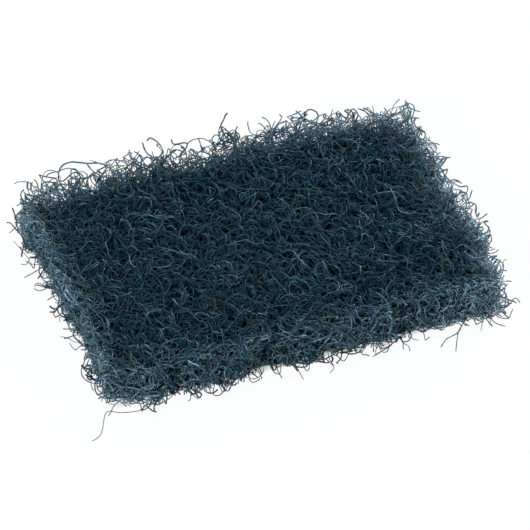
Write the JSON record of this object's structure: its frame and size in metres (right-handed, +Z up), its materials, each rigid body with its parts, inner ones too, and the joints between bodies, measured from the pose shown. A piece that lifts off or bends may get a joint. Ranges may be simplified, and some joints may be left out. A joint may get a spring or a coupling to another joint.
{
  "type": "scouring pad",
  "caption": "Thick rectangular scouring pad of coarse crimped nylon strands, bonded into one open springy web, with loops and cut ends of strand at its sides.",
  "frame": {"origin": "under the middle of the pad, on the surface that it lies on", "axes": "+X along the pad's length, +Y across its width, +Z up through its thickness, away from the underside"},
  "size_m": [0.16, 0.1078, 0.0206],
  "materials": {
    "nylon_web": "matt dark slate blue, coarse bonded strands"
  },
  "bodies": {
    "root": {"scouring_pad": "nylon_web"}
  },
  "joints": []
}
